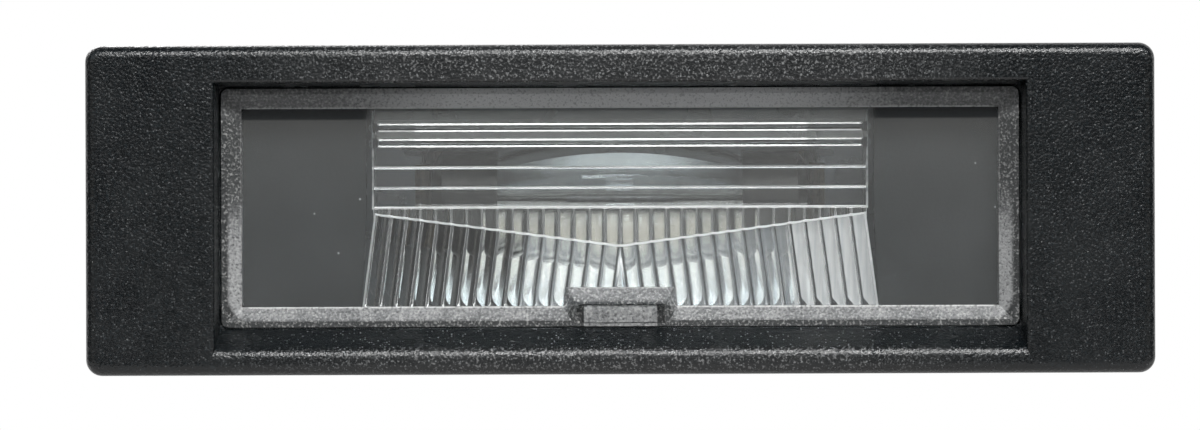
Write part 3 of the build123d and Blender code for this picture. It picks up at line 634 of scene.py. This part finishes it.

# %% [markdown]
# ## Pale edges
# Where a mould's edge can't be polished the plastic comes out matt: the rounded crests of the prisms, the wall under
# the V, the feet of the flutes and the ends of the blocks. They catch the light as thin white lines, worn in places on
# the crests. Such an edge glows with the light that reaches it from within, so half of it is a translucent shader; matt
# colour alone would stay grey, because these walls face away from the lamps.

# %% Make the matt edges
EDGE_MILK = (0.96, 0.97, 0.98)
EDGE_WORN = (0.22, 0.24, 0.26)
WEAR_MARKS = (90, 1, 1500)
CRESTS_ABOVE = (1.0 * MM, 1.5 * MM)
edge_plastic, tree, shader, place = start_lens_finish("edge_plastic", 0.25)
shader.inputs["Roughness"].default_value = 0.3
cloud = add_cloud(tree, stretch_place(tree, place, WEAR_MARKS), 1.0, 3.0)
on_crests = ramp_between(tree, split_axes(tree, place)[2], *CRESTS_ABOVE)
worn = multiply(tree, ramp_between(tree, cloud, 0.38, 0.62, 0.0, 0.75), on_crests)
milk = mix_colours(tree, worn, EDGE_MILK, EDGE_WORN)
tree.links.new(milk, shader.inputs["Base Color"])
inner_light = add_node(tree, "ShaderNodeBsdfTranslucent")
tree.links.new(milk, inner_light.inputs["Color"])
pass_shadow_rays(tree, mix_shaders(tree, 0.5, shader, inner_light), (0.8, 0.8, 0.8))
print("finish:", edge_plastic.name)

# %% [markdown]
# ## Frosted border
# Round the window the lens front is grained, so it scatters light. Where the lens skirt stands behind it, it shows as a
# pale band with round corners, which jogs up over the release tab; the rim outside that band stays dark, with painted
# glitter.
# The skirt's own shape could be modelled and left to the light, but frost hides where it ends. So the band is drawn as
# the inside of a rounded rectangle, whose lower edge is lifted over the tab.

# %% Find the pale band
LENS_MIDDLE_Z = 0.2 * MM
BAND_HALF_X = 34.25 * MM
BAND_HALF_Z = 9.85 * MM
BAND_ROUND = 2.0 * MM
BAND_EDGE = (-0.25 * MM, 0.15 * MM)
JOG_HALF_X = 4.45 * MM
JOG_RISE = 1.65 * MM
JOG_EASE = 0.5 * MM
TAB_HALF_X = 3.2 * MM
TAB_TOP_Z = -8.36 * MM
frosted_plastic, tree, shader, place = start_lens_finish("frosted_plastic", 0.25)
x, _, z = split_axes(tree, place)
side = do_math(tree, "ABSOLUTE", x)
lower_half = do_math(tree, "LESS_THAN", z, 0.0)
lift = ramp_between(tree, side, JOG_HALF_X - JOG_EASE, JOG_HALF_X + JOG_EASE, JOG_RISE, 0.0)
lifted = do_math(tree, "SUBTRACT", z, multiply(tree, lift, lower_half))
level = do_math(tree, "ABSOLUTE", do_math(tree, "SUBTRACT", lifted, LENS_MIDDLE_Z))
over_x = do_math(tree, "MAXIMUM", do_math(tree, "SUBTRACT", side, BAND_HALF_X - BAND_ROUND), 0.0)
over_z = do_math(tree, "MAXIMUM", do_math(tree, "SUBTRACT", level, BAND_HALF_Z - BAND_ROUND), 0.0)
squares = do_math(tree, "ADD", multiply(tree, over_x, over_x), multiply(tree, over_z, over_z))
edge = do_math(tree, "SUBTRACT", do_math(tree, "SQRT", squares), BAND_ROUND)
on_tab = do_math(tree, "LESS_THAN", side, TAB_HALF_X)
on_tab = multiply(tree, on_tab, do_math(tree, "LESS_THAN", z, TAB_TOP_Z))
band = do_math(tree, "MAXIMUM", ramp_between(tree, edge, *BAND_EDGE, 1.0, 0.0), on_tab)
print("band in mm:", 2 * BAND_HALF_X / MM, "by", 2 * BAND_HALF_Z / MM)

# %% [markdown]
# The band is not equally pale. Painted light makes it brightest along the bottom and low on the two ends, and it fades
# up the sides; the rim is painted lighter near the top. Over the middle of the top bar a painted glow stands for light
# from the reflector. A painted highlight marks the fold where the border meets the window, and painted shade lies on
# the jog over the tab.

# %% Tone the border
BAND_LOW, BAND_HIGH = (0.125, 0.132, 0.137), (0.265, 0.272, 0.277)
PAINTED_BAND_LIGHT = (0.62, 0.63, 0.64)
RIM_DARK, RIM_TOP_PAINTED_LIGHT = (0.022, 0.025, 0.026), (0.14, 0.144, 0.148)
PAINTED_GLOW_WHITE = (0.95, 0.96, 0.97)
FOLD_HIGHLIGHT = (0.85, 0.86, 0.86)
JOG_SHADE = (0.05, 0.055, 0.06)
FOLD_INSIDE = 1.15 * MM  # from the band's edge to the fold
# painted light: brighter towards the bottom and in the middle of the top, the band fading up the sides
painted_light_low = ramp_between(tree, z, -4.5 * MM, 4 * MM, 1.0, 0.0)
painted_light_middle = ramp_between(tree, side, 12 * MM, 27 * MM, 1.0, 0.0)
painted_light_share = do_math(tree, "MAXIMUM", painted_light_low, painted_light_middle)
band = multiply(tree, band, ramp_between(tree, painted_light_share, 0.0, 1.0, 0.1, 1.0))
cloud = add_cloud(tree, place, 450.0, 3.0)
pale = mix_colours(tree, ramp_between(tree, cloud, 0.35, 0.65), BAND_LOW, BAND_HIGH)
# painted light low on the two ends and on the tab
lit_low_ends = multiply(tree, ramp_between(tree, side, 32.8 * MM, 33.3 * MM), painted_light_low)
bright = do_math(tree, "MAXIMUM", multiply(tree, lit_low_ends, 0.6), multiply(tree, on_tab, 0.22))
pale = mix_colours(tree, bright, pale, PAINTED_BAND_LIGHT)
# rim painted lighter near the top
rim_tone = mix_colours(tree, ramp_between(tree, z, 7.5 * MM, 9 * MM), RIM_DARK, RIM_TOP_PAINTED_LIGHT)
body = mix_colours(tree, band, rim_tone, pale)
# painted glow over the middle of the top bar, standing for light from the reflector
painted_glow = multiply(tree, painted_light_middle, ramp_between(tree, z, 6 * MM, 9 * MM))
body = mix_colours(tree, multiply(tree, painted_glow, 0.97), body, PAINTED_GLOW_WHITE)
# painted highlight along the fold
from_fold = do_math(tree, "ABSOLUTE", do_math(tree, "ADD", edge, FOLD_INSIDE))
painted_fold_highlight = ramp_between(tree, from_fold, 0.04 * MM, 0.1 * MM, 1.0, 0.0)
painted_fold_highlight = multiply(tree, painted_fold_highlight, ramp_between(tree, side, 32.5 * MM, 32.9 * MM, 0.7, 0.1))
body = mix_colours(tree, painted_fold_highlight, body, FOLD_HIGHLIGHT)
# painted shade on the jog over the tab
jog_shade = ramp_between(tree, side, JOG_HALF_X + 0.1 * MM, JOG_HALF_X + 0.5 * MM, 0.5, 0.0)
jog_shade = multiply(tree, jog_shade, ramp_between(tree, z, -8.4 * MM, -8.1 * MM))
body = mix_colours(tree, multiply(tree, jog_shade, lower_half), body, JOG_SHADE)
print("border tones:", len(tree.nodes), "nodes so far")

# %% [markdown]
# Last comes the grain itself. Its tops get painted sparkle, which shows most on the dark rim, its pits get painted
# shade, and dust lies on top. The same group as on the bezel serves here, with a slightly finer scale.

# %% Grain the border
PAINTED_SPARKLE = (0.72, 0.73, 0.72)
PAINTED_PIT_SHADE = (0.03, 0.033, 0.035)
SPECK = (0.85, 0.85, 0.83)
skin = use_group(tree, grain, place, Scale=4600.0)
dirt = use_group(tree, dust, place)
# painted sparkle on the tops of the grain
body = mix_colours(tree, multiply(tree, skin["Tops"], 0.5), body, PAINTED_SPARKLE)
# painted shade in the pits
pit_shade = multiply(tree, skin["Pits"], ramp_between(tree, painted_glow, 0.0, 1.0, 0.75, 0.4))
body = mix_colours(tree, pit_shade, body, PAINTED_PIT_SHADE)
body = mix_colours(tree, multiply(tree, dirt["Specks"], 0.6), body, SPECK)
tree.links.new(body, shader.inputs["Base Color"])
shader.inputs["Roughness"].default_value = 0.42
raise_bump(tree, shader, skin["Height"], 1.0, 0.06 * MM)
print("finish:", frosted_plastic.name)

# %% [markdown]
# ## Metals
# The bulb's caps are nickel that has gone dull, the contacts spring bronze, the blades tinned brass and the retaining
# spring bright steel with fine rolling marks. Each could have its own tree, but one recipe serves them all: two tones
# mixed by a cloud of noise that may be stretched along the strip, the same cloud in the roughness, and a hint of it in
# the bump.


# %% Make the metals
def metal_finish(name, dark, light, rough, stretch, depth):
    material, tree, shader, place = start_finish(name)
    shader.inputs["Metallic"].default_value = 1.0
    cloud = add_cloud(tree, stretch_place(tree, place, stretch), 1.0, 4.0, 0.65)
    tint = mix_colours(tree, ramp_between(tree, cloud, *NOISE_SPAN), dark, light)
    tree.links.new(tint, shader.inputs["Base Color"])
    polish = ramp_between(tree, cloud, *NOISE_SPAN, rough + 0.1, rough - 0.05)
    tree.links.new(polish, shader.inputs["Roughness"])
    raise_bump(tree, shader, cloud, 0.4, depth * MM)
    return material


COARSE, FINE, LONG_X = (900, 900, 900), (2500, 2500, 2500), (300, 2400, 2400)
cap_nickel = metal_finish("cap_nickel", (0.008, 0.008, 0.008), (0.02, 0.019, 0.018), 0.4, COARSE, 0.005)
solder_grey = metal_finish("solder_grey", (0.42, 0.42, 0.43), (0.6, 0.6, 0.6), 0.35, FINE, 0.02)
lead_wire = metal_finish("lead_wire", (0.03, 0.03, 0.03), (0.06, 0.058, 0.055), 0.4, (300, 3000, 3000), 0.004)
tungsten = metal_finish("tungsten", (0.05, 0.05, 0.053), (0.1, 0.1, 0.104), 0.4, (3000, 3000, 3000), 0.01)
contact_bronze = metal_finish("contact_bronze", (0.05, 0.04, 0.028), (0.1, 0.075, 0.05), 0.4, LONG_X, 0.004)
blade_tin = metal_finish("blade_tin", (0.5, 0.49, 0.46), (0.7, 0.69, 0.66), 0.3, (1500, 200, 1500), 0.004)
spring_steel = metal_finish("spring_steel", (0.4, 0.41, 0.42), (0.6, 0.61, 0.62), 0.28, (250, 250, 5000), 0.004)
metals = (cap_nickel, solder_grey, lead_wire, tungsten, contact_bronze, blade_tin, spring_steel)
print("metals:", [metal.name for metal in metals])

# %% [markdown]
# ## Reflector
# The reflector is silvered in a vacuum. Its dish faces the source, and the film thins out where the upper half turns
# away towards the ends, so the bright patch has no hard sides there. The same thinning could be painted as an image; a
# product of two ramps, one along the lamp and one upwards, is enough.

# %% Make the silvering
SILVER_WARM, SILVER_PALE = (0.92, 0.91, 0.88), (0.98, 0.97, 0.95)
SILVER_COOL = (0.95, 0.975, 1.0)
SILVER_THIN = (0.1, 0.105, 0.11)
reflector_bright, tree, shader, place = start_finish("reflector_bright")
shader.inputs["Metallic"].default_value = 1.0
x, _, z = split_axes(tree, place)
cloud = add_cloud(tree, place, 120.0, 4.0, 0.65)
silver = mix_colours(tree, ramp_between(tree, cloud, *NOISE_SPAN), SILVER_WARM, SILVER_PALE)
silver = mix_colours(tree, ramp_between(tree, z, 0.8 * MM, 2 * MM), silver, SILVER_COOL)
thin = ramp_between(tree, do_math(tree, "ABSOLUTE", x), 2 * MM, 10.5 * MM)
thin = multiply(tree, thin, ramp_between(tree, z, -0.8 * MM, 0.8 * MM, 0.0, 0.9))
tree.links.new(mix_colours(tree, thin, silver, SILVER_THIN), shader.inputs["Base Color"])
tree.links.new(ramp_between(tree, cloud, *NOISE_SPAN, 0.22, 0.07), shader.inputs["Roughness"])
raise_bump(tree, shader, cloud, 0.4, 0.004 * MM)
print("finish:", reflector_bright.name)

# %% [markdown]
# ## Rubber and foam
# Two rings keep the wet out. The one between the chamber and the carrier is a solid rubber, matt with a little bloom.
# The one behind the bezel is cut from open foam, so its sides show pores; cells of a Voronoi texture make them, where
# plain noise would look like felt.

# %% Make the seals
seal_rubber, tree, shader, place = start_finish("seal_rubber")
cloud = add_cloud(tree, place, 400.0, 4.0)
tree.links.new(mix_colours(tree, cloud, (0.02, 0.02, 0.021), (0.05, 0.05, 0.05)), shader.inputs["Base Color"])
tree.links.new(ramp_between(tree, cloud, *NOISE_SPAN, 0.65, 0.85), shader.inputs["Roughness"])
raise_bump(tree, shader, cloud, 0.3, 0.02 * MM)

gasket_foam, tree, shader, place = start_finish("gasket_foam")
cells = add_node(tree, "ShaderNodeTexVoronoi", Scale=3200.0, Randomness=1.0)
tree.links.new(place, cells.inputs["Vector"])
pore = ramp_between(tree, cells.outputs["Distance"], 0.15, 0.55)
tree.links.new(mix_colours(tree, pore, (0.018, 0.018, 0.019), (0.075, 0.075, 0.077)), shader.inputs["Base Color"])
shader.inputs["Roughness"].default_value = 0.9
raise_bump(tree, shader, pore, 0.8, 0.08 * MM)
print("finishes:", seal_rubber.name, gasket_foam.name)

# %% [markdown]
# ## Bulb glass
# The bulb is a blown tube that swells towards its middle. The solid has a plain tube with short shoulders; here the
# same glass is turned on the bulb's axis as one smooth barrel with a thin wall, so that light glides along it. A Screw
# modifier would turn the profile too, but rings of points make both walls in one go.

# %% Draw the bulb's profile
glass_low, glass_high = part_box("bulb_glass")
bulb_y = (glass_low[1] + glass_high[1]) / 2
bulb_z = (glass_low[2] + glass_high[2]) / 2
GLASS_R = (glass_high[2] - glass_low[2]) / 2
GLASS_HALF = (glass_high[0] - glass_low[0]) / 2
NECK_R = 3.84 * MM
NECK_X = 10.6 * MM
GLASS_WALL = 0.5 * MM
FULLNESS = 0.75
STEPS = 40


def barrel_radius(x):
    share = min(abs(x) / NECK_X, 1.0)
    swell = math.cos(share * math.pi / 2) ** FULLNESS
    return NECK_R + (GLASS_R - NECK_R) * swell


stations = [-NECK_X + 2 * NECK_X * i / STEPS for i in range(STEPS + 1)]
outside = [(-GLASS_HALF, NECK_R)] + [(x, barrel_radius(x)) for x in stations] + [(GLASS_HALF, NECK_R)]
inside = [(x, r - GLASS_WALL) for x, r in reversed(outside)]
print("profile points:", len(outside) + len(inside))

# %% Turn the bulb glass
TURNS = 72
shape = bmesh.new()
rings = []
for x, r in outside + inside:
    ring = []
    for k in range(TURNS):
        turn = 2 * math.pi * k / TURNS
        ring.append(shape.verts.new((x, bulb_y + r * math.cos(turn), bulb_z + r * math.sin(turn))))
    rings.append(ring)
for i, ring in enumerate(rings):
    following = rings[(i + 1) % len(rings)]
    for k in range(TURNS):
        n = (k + 1) % TURNS
        shape.faces.new((ring[k], following[k], following[n], ring[n]))
bmesh.ops.recalc_face_normals(shape, faces=shape.faces)
mesh = bpy.data.meshes.new("bulb_barrel")
shape.to_mesh(mesh)
shape.free()
for face in mesh.polygons:
    face.use_smooth = True
barrel = bpy.data.objects.new("bulb_barrel", mesh)
scene.collection.objects.link(barrel)
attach(barrel, "root")
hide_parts("bulb_glass")
print("bulb faces:", len(mesh.polygons))

# %% [markdown]
# Blown glass is never quite even. A soft cloud of noise tints it and dulls its polish here and there.

# %% Make the bulb's glass
bulb_clear, tree, shader, place = start_finish("bulb_clear")
shader.inputs["Transmission Weight"].default_value = 1.0
shader.inputs["IOR"].default_value = 1.5
cloud = add_cloud(tree, place, 250.0, 3.0)
tree.links.new(mix_colours(tree, cloud, (0.97, 0.97, 0.96), (1.0, 1.0, 0.99)), shader.inputs["Base Color"])
tree.links.new(ramp_between(tree, cloud, 0.4, 0.8, 0.0, 0.04), shader.inputs["Roughness"])
pass_shadow_rays(tree, shader, (0.95, 0.95, 0.95))
mesh.materials.append(bulb_clear)
print("finish:", bulb_clear.name)

# %% [markdown]
# ## Dress the pieces
# Each solid takes its finish by name, and pieces that come in pairs share one. Three solids take more than one: the
# housing with its pocket floor, the carrier with its inner face, and the lens with all its kinds of skin. Painting such
# borders in one material would need masks for each; giving finishes to faces keeps every border on a real edge.

# %% Give each piece its finish
lens_finishes = [
    clear_plastic, frosted_plastic, satin_plastic, hazy_plastic, edge_plastic, streaky_plastic, veiled_plastic
]
finishes = {
    "housing": [bezel_black, floor_grey],
    "lens": lens_finishes,
    "reflector": [reflector_bright],
    "bulb_glass": [bulb_clear],
    "bulb_filament": [tungsten],
    "bulb_carrier": [carrier_black, dull_film],
    "carrier_seal": [seal_rubber],
    "flange_gasket": [gasket_foam],
    "retaining_spring": [spring_steel],
    "bulb_cap": [cap_nickel],
    "bulb_solder": [solder_grey],
    "bulb_lead": [lead_wire],
    "contact": [contact_bronze],
    "terminal": [blade_tin],
}
for name, node in nodes.items():
    kind = name.removesuffix("_left").removesuffix("_right")
    node.data.materials.clear()
    for material in finishes[kind]:
        node.data.materials.append(material)
    for face in node.data.polygons:
        face.use_smooth = True
print("dressed:", len(nodes), "pieces")

# %% [markdown]
# ## Faces of the lens
# The lens is one moulding, so its faces are told apart by how deep they lie behind its front, where they are and which
# way they look. The edges come first, then the optics on the back, then the window and its border; whatever is left is
# clear.

# %% Tell the lens faces apart
lens_low, lens_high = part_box("lens")
front = lens_low[1]
TOUCH = 0.01 * MM
WINDOW_LEVEL = front + 0.7 * MM
TAB_BACK = front + 2 * MM
OPTICS_FROM = front + 2.3 * MM
FLUTES_FROM = front + 2.35 * MM
STRIP_BACK = front + 2.8 * MM
BLOCK_BACK = front + 3.42 * MM
FAN_FROM = front + 3.5 * MM
CREST_FROM = front + 3.65 * MM
BOTTOM_Z = -8 * MM


def edge_finish(spot, normal):
    foot = normal.z < -0.9 and spot.z < BOTTOM_Z
    if foot and spot.x < -9 * MM:
        return frosted_plastic
    crest = spot.y > CREST_FROM and 0.0 < spot.z < 4.2 * MM and abs(normal.x) < 0.1
    v_wall = normal.z > 0.6 and -3.5 * MM < spot.z < 0.05 * MM
    end = abs(normal.x) > 0.8 and abs(spot.x) > 21 * MM
    return edge_plastic if crest or v_wall or end or foot else None


def optic_finish(spot, normal):
    on_fan = spot.y >= FAN_FROM and spot.z <= -0.5 * MM
    if on_fan and -8.6 * MM < spot.x < 15 * MM:
        return streaky_plastic
    if on_fan and spot.x > 15 * MM:
        return satin_plastic
    if spot.z > 5.3 * MM and spot.y < BLOCK_BACK and normal.y > 0.99:
        return veiled_plastic
    return hazy_plastic if spot.y < STRIP_BACK else None


def front_finish(spot, normal):
    if abs(spot.y - WINDOW_LEVEL) < TOUCH and normal.y < -0.9:
        return hazy_plastic
    on_border = spot.y < WINDOW_LEVEL - TOUCH and normal.y < -0.05
    by_tab = abs(spot.x) < 5 * MM and spot.z < BOTTOM_Z and spot.y < TAB_BACK
    return frosted_plastic if on_border or by_tab else None


counts = {material.name: 0 for material in lens_finishes}
for face in nodes["lens"].data.polygons:
    spot, normal = face.center, face.normal
    finish = edge_finish(spot, normal) if spot.y >= OPTICS_FROM else None
    if finish is None and normal.y >= 0.5 and spot.y >= FLUTES_FROM:
        finish = optic_finish(spot, normal)
    finish = finish or front_finish(spot, normal) or clear_plastic
    face.material_index = lens_finishes.index(finish)
    counts[finish.name] += 1
print("lens faces:", counts)

# %% [markdown]
# ## Faces of the housing and the carrier
# The pocket floor lies where the lens seats, and the carrier's inner face is what looks forward inside the chamber.

# %% Mark the pocket floor and the inner face
CHAMBER_HALF_X = 23.2 * MM
CHAMBER_HALF_Z = 9.2 * MM
SEAT_SLACK = 0.05 * MM
SECOND = 1  # both pieces keep the other finish second in their list
marked = {"housing": 0, "bulb_carrier": 0}
for name in marked:
    for face in nodes[name].data.polygons:
        spot = face.center
        if name == "housing":
            behind_lens = lens_low[0] < spot.x < lens_high[0] and lens_low[2] < spot.z < lens_high[2]
            wanted = behind_lens and abs(spot.y - STRIP_BACK) < SEAT_SLACK
        else:
            wanted = abs(spot.x) < CHAMBER_HALF_X and abs(spot.z - LENS_MIDDLE_Z) < CHAMBER_HALF_Z
        if wanted and face.normal.y < -0.9:
            face.material_index = SECOND
            marked[name] += 1
print("marked faces:", marked)
